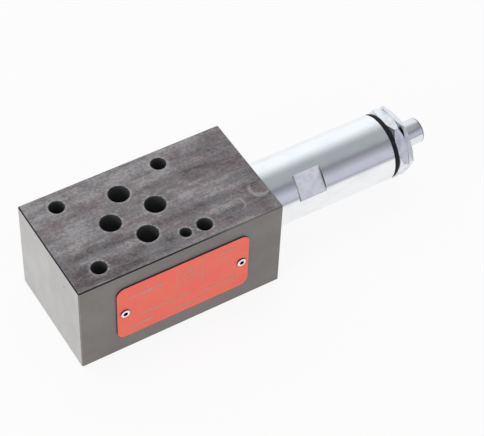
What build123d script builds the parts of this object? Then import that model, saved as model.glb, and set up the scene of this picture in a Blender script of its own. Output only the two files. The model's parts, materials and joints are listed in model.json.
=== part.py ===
"""Sandwich-plate relief valve for the four-port NG6 hydraulic interface.

A drilled steel block goes between a subplate and a directional valve. A pilot-operated relief cartridge is
screwed into its right end and joins port P to port T when the set pressure is reached.
Millimetres. The origin is on the bottom face, at the centre of the bolt pattern. +X points to the cartridge,
+Y away from the nameplate and +Z up.
"""
from build123d import *
import math
import os

# Block
block_length = 80.0
block_width = 45.0
block_height = 40.0
block_left_margin = 11.5  # left pair of bolts to the left end face
block_edge_break = 0.4

# Port pattern of the standard interface, measured from the left pair of bolts and from the centre line
pattern_length = 40.5
left_bolt_spacing = 31.0
right_bolt_spacing = 32.5
port_a_distance = 12.7
port_pt_distance = 21.5
port_b_distance = 30.2
pin_distance = 33.0
port_pt_offset = 10.4
pin_offset = 16.25
bolt_hole_diameter = 5.5
port_diameter = 7.5
pin_hole_diameter = 4.0
pin_hole_depth = 5.0
hole_edge_break = 0.2
seal_recess_diameter = 12.4
seal_recess_depth = 1.4
interface_seal_width = 1.9
interface_seal_rounding = 0.55

# Nameplate and its rivets
nameplate_length = 52.3
nameplate_height = 25.9
nameplate_middle = 20.45  # height of its middle above the bottom face
nameplate_thickness = 0.6
nameplate_corner_radius = 3.3
rivet_spacing = 46.3
rivet_head_diameter = 3.5
rivet_head_height = 0.6
rivet_head_rounding = 0.35
rivet_shank_diameter = 2.4
rivet_shank_length = 4.0
rivet_hollow_diameter = 1.3

# Cartridge cavity in the block, stepped down from the right end face
cartridge_height = 20.0
thread_diameter = 22.0
face_land = 0.8  # ring of the tube's shoulder that bears on the block, outside the seal recess
face_recess_depth = 2.4
thread_bore_depth = 15.0
return_chamber_diameter = 22.8
return_chamber_length = 9.5
nose_bore_diameter = 13.1
nose_bore_length = 7.5
pressure_drilling_diameter = 4.0
return_drilling_diameter = 3.8
pressure_drilling_mouth = 5.2  # where each oblique drilling crosses the end face, beside the cartridge axis
return_drilling_mouth = 7.95
return_drilling_shift = 0.6  # past the middle of port T, so that the wall to the nose bore stays thick

# Spring housing: shank in the block and tube outside it
tube_diameter = 25.6
tube_length = 56.2
tube_rim_chamfer = 0.3
shank_length = 14.0
neck_diameter = 20.0
thread_runout = 0.8
wrench_flat_size = 23.5
wrench_flat_start = 14.4
wrench_flat_length = 11.5
wrench_flat_turn = 48.5  # degrees from straight up, towards the nameplate side
passage_diameter = 11.0
passage_length = 3.0
spring_chamber_diameter = 18.5
drain_hole_diameter = 1.4
drain_hole_count = 2
drain_hole_outset = 0.2  # outward from half way between the spigot's bore and the spring chamber's wall
screw_thread_diameter = 20.0
screw_thread_length = 16.5

# Sleeve, spool and pilot stage
sleeve_inlet_gap = 2.5
sleeve_nose_chamfer = 0.4
sleeve_inlet_diameter = 7.2
sleeve_body_diameter = 16.0
sleeve_body_gap = 0.5
spigot_diameter = 14.0
spigot_length = 8.0
spool_diameter = 9.0
spool_length = 13.0
spool_front_wall = 2.5
spool_hollow_diameter = 6.0
spool_overlap = 1.0
window_diameter = 3.2
window_count = 4
window_setback = 2.85  # window centre from the end wall of the return chamber
balance_groove_width = 0.4
balance_groove_depth = 0.3
balance_groove_pitch = 2.5
balance_groove_count = 3
orifice_screw_diameter = 3.0
orifice_diameter = 0.8
pilot_seat_thickness = 5.0
pilot_seat_bore = 2.5
pilot_seat_pocket_diameter = 5.8
pilot_seat_pocket_depth = 2.0
poppet_cone_half_angle = 20.0
poppet_tip_diameter = 0.8
poppet_stem_diameter = 4.4
poppet_collar_diameter = 6.4
poppet_collar_length = 1.3
poppet_collar_gap = 0.7
spring_plate_diameter = 17.2
spring_plate_thickness = 2.0
spring_guide_length = 3.0

# Springs
main_spring_mean_diameter = 4.6
main_spring_wire = 0.8
main_spring_turns = 8
pilot_spring_mean_diameter = 12.4
pilot_spring_wire = 2.6
pilot_spring_turns = 5
spring_guide_play = 0.3

# Plunger and adjusting screw
adjustment_travel = 8.0
plunger_length = 9.0
plunger_rear_position = 21.5  # plunger's rear face from the tube's rim
thrust_disc_diameter = 9.8
thrust_disc_thickness = 2.0
thrust_pocket_depth = 1.5
screw_pin_diameter = 9.0
screw_pin_length = 6.5
seal_ring_width = 1.9
seal_ring_outer_diameter = 25.3
seal_ring_inner_diameter = 20.8
seal_ring_rounding = 0.6
hexagon_size = 24.0
hexagon_turn = 23.5  # degrees from straight up to a corner, towards the nameplate side
hexagon_face_diameter = 24.4  # circle that the chamfer of the corners leaves on a face
nut_seal_chamfer = 1.1  # lengths of the corner chamfers along the axis
nut_head_chamfer = 1.6
head_nut_chamfer = 0.7
head_stub_chamfer = 0.9
lock_nut_thickness = 4.05
loosening_gap = 0.1
screw_head_thickness = 2.0
stub_diameter = 9.8
stub_length = 10.55
stub_chamfer = 0.5
key_socket_size = 5.0
key_socket_depth = 6.0

# Round seals in grooves, by the diameter of their section
housing_seal_section = 1.8
sleeve_seal_section = 1.25
sleeve_groove_width = 3.2
sleeve_groove_depth = 1.3
backup_ring_width = 0.75
seat_seal_section = 1.2
seat_groove_width = 1.6
plunger_seal_section = 1.6
plunger_groove_width = 2.4
plunger_groove_setback = 3.5

# Clearances
fit_play = 0.03  # radial, between parts that are screwed or pressed together
sliding_play = 0.03  # radial, spool in sleeve
plunger_play = 0.05
rest_gap = 0.05  # along the axis, where a moving part rests on its stop
seal_play = 0.1

# Places along X
block_left = -pattern_length / 2 - block_left_margin
block_right = block_left + block_length
block_middle = (block_left + block_right) / 2
front_face = -block_width / 2
thread_bore_end = block_right - thread_bore_depth
return_chamber_end = thread_bore_end - return_chamber_length
nose_bore_end = return_chamber_end - nose_bore_length
shank_end = block_right - shank_length
sleeve_nose = nose_bore_end + sleeve_inlet_gap
window_centre = return_chamber_end + window_setback
spool_front = window_centre - window_diameter / 2 - spool_overlap
spool_floor = spool_front + spool_front_wall
seat_front = shank_end + spigot_length
seat_rear = seat_front + pilot_seat_thickness
chamber_front = seat_rear + passage_length
collar_front = chamber_front + poppet_collar_gap
spring_plate_front = collar_front + poppet_collar_length
spring_front = spring_plate_front + spring_plate_thickness
tube_rim = block_right + tube_length
screw_thread_start = tube_rim - screw_thread_length
plunger_rear = tube_rim - plunger_rear_position
plunger_front = plunger_rear - plunger_length
thrust_disc_rear = plunger_rear - thrust_pocket_depth + thrust_disc_thickness
screw_pin_tip = thrust_disc_rear + rest_gap
screw_shank_start = screw_pin_tip + screw_pin_length
lock_nut_start = tube_rim + seal_ring_width
screw_head_start = lock_nut_start + lock_nut_thickness + loosening_gap
stub_start = screw_head_start + screw_head_thickness
stub_end = stub_start + stub_length


def on_pattern(distance):
    """X of a point given by its distance from the left pair of bolts."""
    return distance - pattern_length / 2


BOLTS = [
    (on_pattern(0), -left_bolt_spacing / 2),
    (on_pattern(0), left_bolt_spacing / 2),
    (on_pattern(pattern_length), -right_bolt_spacing / 2),
    (on_pattern(pattern_length), right_bolt_spacing / 2),
]
PORT_P = (on_pattern(port_pt_distance), -port_pt_offset)
PORT_T = (on_pattern(port_pt_distance), port_pt_offset)
PORTS = [PORT_P, PORT_T, (on_pattern(port_a_distance), 0), (on_pattern(port_b_distance), 0)]
PIN_HOLE = (on_pattern(pin_distance), -pin_offset)


def on_axis(shape):
    """Lift a shape made round the X axis to the height of the cartridge."""
    return Pos(0, 0, cartridge_height) * shape


def turned(*stations):
    """Solid of revolution through (x, radius) stations, about the cartridge axis."""
    outline = [(stations[0][0], 0), *stations, (stations[-1][0], 0)]
    return on_axis(revolve(make_face(Polyline(*outline, close=True)), Axis.X))


def rod(start, end, diameter):
    """Plain cylinder along the cartridge axis."""
    return turned((start, diameter / 2), (end, diameter / 2))


def ring(start, end, inner_diameter, outer_diameter):
    """Plain ring along the cartridge axis."""
    return rod(start, end, outer_diameter) - rod(start, end, inner_diameter)


def round_seal(middle, section, inner_diameter):
    """Seal ring of round section about the cartridge axis."""
    centre_radius = (inner_diameter + section) / 2
    return on_axis(Pos(middle, 0, 0) * Rot(0, 90, 0) * Torus(centre_radius, section / 2))


def drilling(start, end, diameter):
    """Straight drilled passage between two points."""
    run = Vector(*end) - Vector(*start)
    seat = Plane(origin=start, z_dir=run)
    return seat * Cylinder(diameter / 2, run.length, align=(Align.CENTER, Align.CENTER, Align.MIN))


def hexagon(start, end, size):
    """Hexagonal prism along the cartridge axis, size across its flats and turned as the photo shows."""
    outline = Plane.YZ * (Rot(0, 0, 90 + hexagon_turn) * RegularPolygon(size / 2, 6, major_radius=False))
    return on_axis(Pos(start, 0, 0) * extrude(outline, end - start))


def hexagon_corner_radius():
    """Radius of the corners of the nut and the screw's head."""
    return hexagon_size / 2 / math.cos(math.pi / 6)


def coil_spring(start, end, mean_diameter, wire, turns):
    """Round-wire compression spring with both ends ground flat."""
    pitch = (end - start) / turns
    reach = end - start + wire
    path = Helix(pitch, reach, mean_diameter / 2, center=(start - wire / 2, 0, 0), direction=(1, 0, 0))
    section = Plane(origin=path @ 0, z_dir=path % 0) * Circle(wire / 2)
    coil = on_axis(sweep(section, path))
    return coil & rod(start, end, mean_diameter + 2 * wire)


def block_blank():
    """Ground steel bar with broken edges."""
    blank = Box(block_length, block_width, block_height, align=(Align.MIN, Align.CENTER, Align.MIN))
    blank = Pos(block_left, 0, 0) * blank
    return chamfer(blank.edges(), block_edge_break)


def vertical_hole(place, diameter, bottom=0.0):
    """Hole that opens in the top face, with its edge broken there."""
    hole = Cylinder(diameter / 2, block_height - bottom, align=(Align.CENTER, Align.CENTER, Align.MIN))
    mouth = Cone(
        diameter / 2,
        diameter / 2 + hole_edge_break,
        hole_edge_break,
        align=(Align.CENTER, Align.CENTER, Align.MAX),
    )
    return Pos(*place, bottom) * hole + Pos(*place, block_height) * mouth


def seal_recess(place):
    """Shallow recess round a port in the bottom face."""
    recess = Cylinder(
        seal_recess_diameter / 2, seal_recess_depth, align=(Align.CENTER, Align.CENTER, Align.MIN)
    )
    return Pos(*place, 0) * recess


def cartridge_cavity():
    """Stepped bore for the cartridge: seal recess, thread, return chamber and nose bore."""
    recess_radius = tube_diameter / 2 - face_land
    thread_radius = thread_diameter / 2 + fit_play
    chamber_radius = return_chamber_diameter / 2
    nose_radius = nose_bore_diameter / 2
    return turned(
        (nose_bore_end, nose_radius),
        (return_chamber_end, nose_radius),
        (return_chamber_end, chamber_radius),
        (thread_bore_end, chamber_radius),
        (thread_bore_end, thread_radius),
        (block_right - face_recess_depth, thread_radius),
        (block_right - face_recess_depth, recess_radius),
        (block_right, recess_radius),
    )


def pressure_drilling():
    """Oblique drilling from the cavity's mouth through its nose bore into port P."""
    mouth = (block_right, pressure_drilling_mouth, cartridge_height)
    return drilling((*PORT_P, cartridge_height), mouth, pressure_drilling_diameter)


def return_drilling():
    """Oblique drilling from the cavity's mouth, past the return chamber, into port T."""
    target = (PORT_T[0], PORT_T[1] + return_drilling_shift, cartridge_height)
    mouth = (block_right, return_drilling_mouth, cartridge_height)
    return drilling(target, mouth, return_drilling_diameter)


def rivet_places():
    """The two rivet centres on the front face, as (x, z)."""
    return [(block_middle + side * rivet_spacing / 2, nameplate_middle) for side in (-1, 1)]


def toward_front(place, start, end, diameter):
    """Cylinder along Y at an (x, z) place, from start to end outside the front face."""
    body = Cylinder(diameter / 2, end - start, align=(Align.CENTER, Align.CENTER, Align.MIN))
    return Pos(place[0], front_face - start, place[1]) * Rot(90, 0, 0) * body


def valve_block():
    """The drilled block."""
    block = block_blank()
    for place in PORTS:
        block -= vertical_hole(place, port_diameter)
        block -= seal_recess(place)
    for place in BOLTS:
        block -= vertical_hole(place, bolt_hole_diameter)
    block -= vertical_hole(PIN_HOLE, pin_hole_diameter, block_height - pin_hole_depth)
    block -= cartridge_cavity()
    block -= pressure_drilling()
    block -= return_drilling()
    for place in rivet_places():
        block -= toward_front(place, -rivet_shank_length - rest_gap, 0, rivet_shank_diameter + 2 * fit_play)
    return block


def nameplate():
    """Thin plate with round corners on the front face."""
    outline = RectangleRounded(nameplate_length, nameplate_height, nameplate_corner_radius)
    face = Pos(block_middle, front_face, nameplate_middle) * (Plane.XZ * outline)
    plate = extrude(face, nameplate_thickness)
    for place in rivet_places():
        plate -= toward_front(place, 0, nameplate_thickness, rivet_shank_diameter + 2 * fit_play)
    return plate


def nameplate_rivet(place):
    """Hollow-headed drive rivet with a domed edge."""
    top = nameplate_thickness + rivet_head_height
    shank = toward_front(place, -rivet_shank_length, nameplate_thickness, rivet_shank_diameter)
    head = toward_front(place, nameplate_thickness, top, rivet_head_diameter)
    head = fillet(head.edges().sort_by(Axis.Y)[0], rivet_head_rounding)
    hollow = toward_front(place, 0, top, rivet_hollow_diameter)
    return shank + head - hollow


def nameplate_rivets():
    """Both rivets."""
    return Compound(children=[nameplate_rivet(place) for place in rivet_places()])


def interface_seal(place):
    """Seal ring of one port, as squeezed flush with the bottom face."""
    middle_radius = seal_recess_diameter / 2 - seal_play - interface_seal_width / 2
    section = RectangleRounded(interface_seal_width, seal_recess_depth, interface_seal_rounding)
    face = Plane.XZ * (Pos(middle_radius, seal_recess_depth / 2) * section)
    return Pos(*place, 0) * revolve(face, Axis.Z)


def interface_orings():
    """The four seals of the bottom face."""
    return Compound(children=[interface_seal(place) for place in PORTS])


def wrench_flat(side):
    """Stock milled away on one side of the tube."""
    depth = tube_diameter / 2
    stock = Box(
        wrench_flat_length, tube_diameter, depth, align=(Align.MIN, Align.CENTER, Align.MIN)
    )
    place = Pos(block_right + wrench_flat_start, 0, side * (wrench_flat_size / 2 + depth / 2) - depth / 2)
    return on_axis(Rot(wrench_flat_turn, 0, 0) * place * stock)


def housing_bore():
    """Stepped bore of the spring housing, from the sleeve's spigot to the screw's thread."""
    spigot_radius = spigot_diameter / 2 + fit_play
    screw_radius = screw_thread_diameter / 2
    return turned(
        (shank_end, spigot_radius),
        (seat_rear, spigot_radius),
        (seat_rear, passage_diameter / 2),
        (chamber_front, passage_diameter / 2),
        (chamber_front, spring_chamber_diameter / 2),
        (screw_thread_start, spring_chamber_diameter / 2),
        (screw_thread_start, screw_radius),
        (tube_rim, screw_radius),
    )


def drain_hole(index):
    """Small hole that drains the spring chamber into the return chamber."""
    bore_radius = spigot_diameter / 2 + fit_play
    place_radius = (bore_radius + spring_chamber_diameter / 2) / 2 + drain_hole_outset
    hole = rod(shank_end, chamber_front, drain_hole_diameter)
    turn = 360 * index / drain_hole_count
    return on_axis(Rot(turn, 0, 0) * Pos(0, 0, place_radius - cartridge_height) * hole)


def spring_housing():
    """Tube with two wrench flats, a shoulder, a seal neck and a threaded shank."""
    tube_radius = tube_diameter / 2
    thread_radius = thread_diameter / 2
    housing = turned(
        (shank_end, thread_radius - thread_runout),
        (shank_end + thread_runout, thread_radius),
        (block_right - face_recess_depth, thread_radius),
        (block_right - face_recess_depth, neck_diameter / 2),
        (block_right, neck_diameter / 2),
        (block_right, tube_radius),
        (tube_rim - tube_rim_chamfer, tube_radius),
        (tube_rim, tube_radius - tube_rim_chamfer),
    )
    housing -= housing_bore()
    for index in range(drain_hole_count):
        housing -= drain_hole(index)
    for side in (-1, 1):
        housing -= wrench_flat(side)
    return housing


def housing_oring():
    """Seal in the block's mouth, under the shoulder of the tube."""
    inner_diameter = neck_diameter + 2 * seal_play
    return round_seal(block_right - face_recess_depth / 2, housing_seal_section, inner_diameter)


def sleeve_groove_start():
    """Front end of the seal groove on the sleeve's nose."""
    return (sleeve_nose + return_chamber_end - sleeve_groove_width) / 2


def sleeve_nose_radius():
    """Outer radius of the sleeve's nose."""
    return nose_bore_diameter / 2 - fit_play


def sleeve_window(index):
    """Radial window from the spool bore to the return chamber."""
    hole = Cylinder(
        window_diameter / 2, sleeve_body_diameter, align=(Align.CENTER, Align.CENTER, Align.MIN)
    )
    return on_axis(Rot(360 * index / window_count, 0, 0) * Pos(window_centre, 0, 0) * hole)


def valve_sleeve():
    """Cartridge sleeve: sealed nose, windowed body and spigot in the housing."""
    nose_radius = sleeve_nose_radius()
    groove_start = sleeve_groove_start()
    groove_end = groove_start + sleeve_groove_width
    groove_radius = nose_radius - sleeve_groove_depth
    body_start = return_chamber_end + sleeve_body_gap
    sleeve = turned(
        (sleeve_nose, nose_radius - sleeve_nose_chamfer),
        (sleeve_nose + sleeve_nose_chamfer, nose_radius),
        (groove_start, nose_radius),
        (groove_start, groove_radius),
        (groove_end, groove_radius),
        (groove_end, nose_radius),
        (body_start, nose_radius),
        (body_start, sleeve_body_diameter / 2),
        (shank_end, sleeve_body_diameter / 2),
        (shank_end, spigot_diameter / 2),
        (seat_front, spigot_diameter / 2),
    )
    spool_stop = spool_front - rest_gap
    sleeve -= rod(sleeve_nose, spool_stop, sleeve_inlet_diameter)
    sleeve -= rod(spool_stop, seat_front, spool_diameter)
    for index in range(window_count):
        sleeve -= sleeve_window(index)
    return sleeve


def sleeve_oring():
    """Seal between pressure and return on the sleeve's nose."""
    middle = sleeve_groove_start() + sleeve_groove_width / 2
    groove_diameter = 2 * (sleeve_nose_radius() - sleeve_groove_depth)
    return round_seal(middle, sleeve_seal_section, groove_diameter + seal_play / 2)


def sleeve_backup_rings():
    """Flat rings on both sides of the sleeve's seal."""
    start = sleeve_groove_start() + rest_gap
    end = start + sleeve_groove_width - 2 * rest_gap
    inner = 2 * (sleeve_nose_radius() - sleeve_groove_depth + fit_play)
    outer = 2 * sleeve_nose_radius()
    front = ring(start, start + backup_ring_width, inner, outer)
    rear = ring(end - backup_ring_width, end, inner, outer)
    return Compound(children=[front, rear])


def main_spool():
    """Hollow spool with balance grooves and a threaded hole for its orifice."""
    radius = spool_diameter / 2 - sliding_play
    rear = spool_front + spool_length
    spool = turned((spool_front, radius), (rear, radius))
    spool -= rod(spool_floor, rear, spool_hollow_diameter)
    spool -= rod(spool_front, spool_floor, orifice_screw_diameter + 2 * fit_play)
    for index in range(balance_groove_count):
        start = rear - (index + 1) * balance_groove_pitch
        spool -= ring(start, start + balance_groove_width, 2 * (radius - balance_groove_depth), 2 * radius)
    return spool


def spool_orifice():
    """Screwed-in damping orifice in the spool's front wall."""
    screw = rod(spool_front, spool_floor, orifice_screw_diameter)
    return screw - rod(spool_front, spool_floor, orifice_diameter)


def main_spring():
    """Light spring that closes the spool."""
    seat_pocket = seat_front + pilot_seat_pocket_depth
    return coil_spring(
        spool_floor, seat_pocket, main_spring_mean_diameter, main_spring_wire, main_spring_turns
    )


def pilot_seat():
    """Seat disc with its bore, a pocket for the main spring and a seal groove."""
    radius = spigot_diameter / 2
    middle = (seat_front + seat_rear) / 2
    seat = rod(seat_front, seat_rear, spigot_diameter)
    seat -= rod(seat_front, seat_rear, pilot_seat_bore)
    seat -= rod(seat_front, seat_front + pilot_seat_pocket_depth, pilot_seat_pocket_diameter)
    groove_diameter = 2 * (radius - seat_seal_section)
    start = middle - seat_groove_width / 2
    return seat - ring(start, start + seat_groove_width, groove_diameter, 2 * radius)


def pilot_seat_oring():
    """Seal round the pilot seat."""
    inner_diameter = spigot_diameter - 2 * seat_seal_section + seal_play / 2
    return round_seal((seat_front + seat_rear) / 2, seat_seal_section - seal_play, inner_diameter)


def pilot_poppet():
    """Cone that closes the pilot seat, with a collar for the spring plate and a guide stem."""
    slope = math.tan(math.radians(poppet_cone_half_angle))
    contact_radius = pilot_seat_bore / 2 - fit_play
    tip_radius = poppet_tip_diameter / 2
    stem_radius = poppet_stem_diameter / 2
    tip = seat_rear - (contact_radius - tip_radius) / slope
    cone_end = seat_rear + (stem_radius - contact_radius) / slope
    return turned(
        (tip, tip_radius),
        (cone_end, stem_radius),
        (collar_front, stem_radius),
        (collar_front, poppet_collar_diameter / 2),
        (spring_plate_front, poppet_collar_diameter / 2),
        (spring_plate_front, stem_radius),
        (spring_front + spring_guide_length, stem_radius),
    )


def spring_guide_diameter():
    """Diameter of the bosses that centre the pilot spring."""
    return pilot_spring_mean_diameter - pilot_spring_wire - 2 * spring_guide_play


def poppet_spring_plate():
    """Spring plate that carries the load of the pilot spring to the poppet's collar."""
    plate = turned(
        (spring_plate_front, spring_plate_diameter / 2),
        (spring_front, spring_plate_diameter / 2),
        (spring_front, spring_guide_diameter() / 2),
        (spring_front + spring_guide_length, spring_guide_diameter() / 2),
    )
    end = spring_front + spring_guide_length
    return plate - rod(spring_plate_front, end, poppet_stem_diameter + 2 * fit_play)


def pilot_spring():
    """Strong spring that sets the pressure."""
    return coil_spring(
        spring_front, plunger_front, pilot_spring_mean_diameter, pilot_spring_wire, pilot_spring_turns
    )


def plunger_radius():
    """Outer radius of the plunger in the spring chamber."""
    return spring_chamber_diameter / 2 - plunger_play


def spring_plunger():
    """Sealed piston between the pilot spring and the adjusting screw."""
    radius = plunger_radius()
    groove_start = plunger_front + plunger_groove_setback
    groove_end = groove_start + plunger_groove_width
    groove_radius = radius - plunger_seal_section
    plunger = turned(
        (plunger_front - spring_guide_length, spring_guide_diameter() / 2),
        (plunger_front, spring_guide_diameter() / 2),
        (plunger_front, radius),
        (groove_start, radius),
        (groove_start, groove_radius),
        (groove_end, groove_radius),
        (groove_end, radius),
        (plunger_rear, radius),
    )
    pocket_diameter = thrust_disc_diameter + 2 * fit_play
    return plunger - rod(plunger_rear - thrust_pocket_depth, plunger_rear, pocket_diameter)


def plunger_oring():
    """Seal of the plunger in the spring chamber."""
    middle = plunger_front + plunger_groove_setback + plunger_groove_width / 2
    inner_diameter = 2 * (plunger_radius() - plunger_seal_section) + seal_play / 2
    return round_seal(middle, plunger_seal_section - seal_play, inner_diameter)


def thrust_disc():
    """Hardened disc that the screw's pin turns on."""
    return rod(plunger_rear - thrust_pocket_depth, thrust_disc_rear, thrust_disc_diameter)


def lock_nut_seal():
    """Squeezed seal ring between the tube's rim and the lock nut."""
    radius = seal_ring_outer_diameter / 2
    body = turned(
        (tube_rim, radius - seal_ring_rounding / 2),
        (tube_rim + seal_ring_rounding, radius),
        (lock_nut_start - seal_ring_rounding, radius),
        (lock_nut_start, radius - seal_ring_rounding / 2),
    )
    return body - rod(tube_rim, lock_nut_start, seal_ring_inner_diameter)


def chamfered_hexagon(start, end, front_chamfer, rear_chamfer):
    """Hexagon of the nut or of the screw's head, with its corners chamfered on both faces."""
    face_radius = hexagon_face_diameter / 2
    corner_radius = hexagon_corner_radius()
    blank = turned(
        (start, face_radius),
        (start + front_chamfer, corner_radius),
        (end - rear_chamfer, corner_radius),
        (end, face_radius),
    )
    return blank & hexagon(start, end, hexagon_size)


def lock_nut():
    """Thin hexagon nut."""
    end = lock_nut_start + lock_nut_thickness
    blank = chamfered_hexagon(lock_nut_start, end, nut_seal_chamfer, nut_head_chamfer)
    return blank - rod(lock_nut_start, end, screw_thread_diameter)


def adjusting_screw():
    """Adjusting screw: pin, threaded shank, hexagon, and stub with a key socket."""
    shank_radius = screw_thread_diameter / 2 - plunger_play
    shank = turned(
        (screw_pin_tip, screw_pin_diameter / 2),
        (screw_shank_start, screw_pin_diameter / 2),
        (screw_shank_start, shank_radius - thread_runout),
        (screw_shank_start + thread_runout, shank_radius),
        (screw_head_start, shank_radius),
    )
    stub = turned(
        (stub_start, stub_diameter / 2),
        (stub_end - stub_chamfer, stub_diameter / 2),
        (stub_end, stub_diameter / 2 - stub_chamfer),
    )
    socket = hexagon(stub_end - key_socket_depth, stub_end, key_socket_size)
    head = chamfered_hexagon(screw_head_start, stub_start, head_nut_chamfer, head_stub_chamfer)
    return shank + head + stub - socket


NODES = [
    valve_block,
    nameplate,
    nameplate_rivets,
    interface_orings,
    spring_housing,
    housing_oring,
    valve_sleeve,
    sleeve_oring,
    sleeve_backup_rings,
    main_spool,
    spool_orifice,
    main_spring,
    pilot_seat,
    pilot_seat_oring,
    pilot_poppet,
    poppet_spring_plate,
    pilot_spring,
    spring_plunger,
    plunger_oring,
    thrust_disc,
    lock_nut_seal,
    lock_nut,
    adjusting_screw,
]

os.makedirs("parts", exist_ok=True)
for make in NODES:
    export_step(make(), f"parts/{make.__name__}.step")
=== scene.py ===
import json
import math

import bmesh
import bpy
from mathutils import Matrix, Vector


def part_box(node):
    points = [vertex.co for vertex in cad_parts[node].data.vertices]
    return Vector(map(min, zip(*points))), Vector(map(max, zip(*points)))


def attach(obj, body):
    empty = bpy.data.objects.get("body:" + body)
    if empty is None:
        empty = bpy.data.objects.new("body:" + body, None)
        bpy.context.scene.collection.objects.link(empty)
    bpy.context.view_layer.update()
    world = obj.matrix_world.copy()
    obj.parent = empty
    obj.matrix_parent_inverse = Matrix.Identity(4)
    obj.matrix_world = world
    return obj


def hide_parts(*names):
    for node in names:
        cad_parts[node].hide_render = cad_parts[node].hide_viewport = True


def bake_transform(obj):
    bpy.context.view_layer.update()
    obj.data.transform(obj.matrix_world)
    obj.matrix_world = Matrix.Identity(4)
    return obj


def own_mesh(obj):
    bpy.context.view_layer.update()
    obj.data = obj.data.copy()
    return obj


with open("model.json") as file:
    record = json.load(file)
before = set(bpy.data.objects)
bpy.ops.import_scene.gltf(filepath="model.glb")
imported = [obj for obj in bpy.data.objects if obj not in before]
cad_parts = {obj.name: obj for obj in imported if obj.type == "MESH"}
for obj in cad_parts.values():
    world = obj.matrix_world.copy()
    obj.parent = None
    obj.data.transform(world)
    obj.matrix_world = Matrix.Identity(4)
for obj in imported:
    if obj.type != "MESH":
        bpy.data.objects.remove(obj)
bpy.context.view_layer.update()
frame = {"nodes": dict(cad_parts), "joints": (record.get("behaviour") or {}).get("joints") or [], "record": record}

nodes = frame["nodes"]
record = frame["record"]

# The block is a ground steel bar, drilled for its ports, bolts and cartridge and then phosphated,
# which leaves it a mottled grey with a brown-violet tinge. Grinding ran along its length, and each
# hole was deburred.
MM = 0.001
TOP_GREY = (0.203, 0.193, 0.2, 1)
TOP_VIOLET = (0.214, 0.181, 0.187, 1)
TOP_PALE = (0.37, 0.355, 0.36, 1)
TOP_DARK = (0.096, 0.081, 0.084, 1)
TOP_TONE = 0.53
SIDE_GREY = (0.215, 0.2, 0.19, 1)
SIDE_PALE = (0.27, 0.255, 0.24, 1)
END_GREY = (0.445, 0.436, 0.428, 1)
END_PALE = (0.49, 0.486, 0.48, 1)
RUBBED_RIM = (0.4, 0.42, 0.4, 1)
# Near black, for the dirt speck on the left end and for the painted dark reflection on the top edges.
SPECK_AND_EDGE_REFLECTION_BLACK = (0.022, 0.021, 0.022, 1)
BORE_SHADE_BLACK = (0.075, 0.077, 0.08, 1)
WORN_PLACES = [  # x and y of the middle, half length, half width, how much lighter
    (-13, -8.0, 22, 2.2, -0.32),
    (27, -8.8, 22, 2.6, -0.2),
    (-10, -11.8, 9, 2.2, 0.26),
    (27, -12.8, 10, 1.8, 0.26),
    (25, -1.5, 12, 4.2, 0.2),
    (31, 6.0, 15, 3.0, -0.18),
    (45, -6, 6, 14, -0.12),
    (-27, -15.5, 6, 8, -0.2),
    (-14, -20.4, 18, 2.4, -0.4),
    (12, -15.8, 42, 4.5, -0.22),
    (-24, 2, 11, 18, 0.12),
    (12, 20, 24, 4, 0.2),
    (22, 12, 12, 4, 0.12),
]
WORN_STRAY = (9, 3.5)  # how far their outlines stray along and across the block
CRESCENT_MARKS = [  # x, y and radius of the outer round, then of the inner one
    ((45.0, -11.2, 3.9), (45.9, -10.0, 3.5)),
    ((34.9, -14.0, 2.9), (33.9, -14.1, 3.0)),
]
CRESCENT_STRAY = 1.6
RIM_STRAY = 1.4
SPECK = (-31.75, -11.7, 32.7)
SPECK_RADIUS = 0.45
BELOW_HOLE = 9  # what lies deeper than a hole's bottom counts as this much further from its rim
EDGE_REFLECTION_FADE = (15, 45)  # the painted dark reflection on the top edges fades out between these x, give or take its stray
EDGE_REFLECTION_STRAY = 14


class Wire:
    """One output in a node tree. Arithmetic on it adds Math nodes, and node() adds any other."""

    def __init__(self, socket):
        self.socket = socket

    def node(self, kind, settings=None, inputs=None, output=0):
        """Adds a node to this wire's tree, sets it up, feeds it and returns one of its outputs."""
        tree = self.socket.id_data
        node = tree.nodes.new(kind)
        for name, value in (settings or {}).items():
            if name == "stops":
                set_stops(node.color_ramp, value)
            else:
                setattr(node, name, value)
        for name, value in (inputs or {}).items():
            if isinstance(value, Wire):
                tree.links.new(value.socket, node.inputs[name])
            else:
                node.inputs[name].default_value = value
        return Wire(node.outputs[output])

    def math(self, operation, *values):
        return self.node("ShaderNodeMath", {"operation": operation}, dict(enumerate(values)))

    def __add__(self, other):
        return self.math("ADD", self, other)

    def __sub__(self, other):
        return self.math("SUBTRACT", self, other)

    def __rsub__(self, other):
        return self.math("SUBTRACT", other, self)

    def __mul__(self, other):
        return self.math("MULTIPLY", self, other)

    def __truediv__(self, other):
        return self.math("DIVIDE", self, other)

    def __pow__(self, other):
        return self.math("POWER", self, other)

    def __abs__(self):
        return self.math("ABSOLUTE", self)

    __radd__ = __add__
    __rmul__ = __mul__

    def least(self, other):
        return self.math("MINIMUM", self, other)

    def most(self, other):
        return self.math("MAXIMUM", self, other)

    def above(self, low, high):
        """Rises smoothly from 0 at low to 1 at high."""
        ends = {"Value": self, "From Min": low, "From Max": high}
        return self.node("ShaderNodeMapRange", {"interpolation_type": "SMOOTHSTEP"}, ends)

    def swing(self, reach):
        """Noise round 0.5 turned into noise round 0, and made reach times as strong."""
        return reach * (self - 0.5)

    def distance(self, point):
        """Distance of this vector from a point."""
        ends = {0: self, 1: point}
        return self.node("ShaderNodeVectorMath", {"operation": "DISTANCE"}, ends, "Value")

    def blend(self, first, second):
        """Colour that goes from first to second as this wire goes from 0 to 1."""
        return self.node("ShaderNodeMix", {"data_type": "RGBA"}, {0: self, 6: first, 7: second}, 2)

    def feed(self, shader, name):
        self.socket.id_data.links.new(self.socket, shader.inputs[name])


def set_stops(ramp, stops):
    while len(ramp.elements) < len(stops):
        ramp.elements.new(0.5)
    for element, (position, colour) in zip(ramp.elements, stops):
        element.position = position
        element.color = colour


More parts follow.
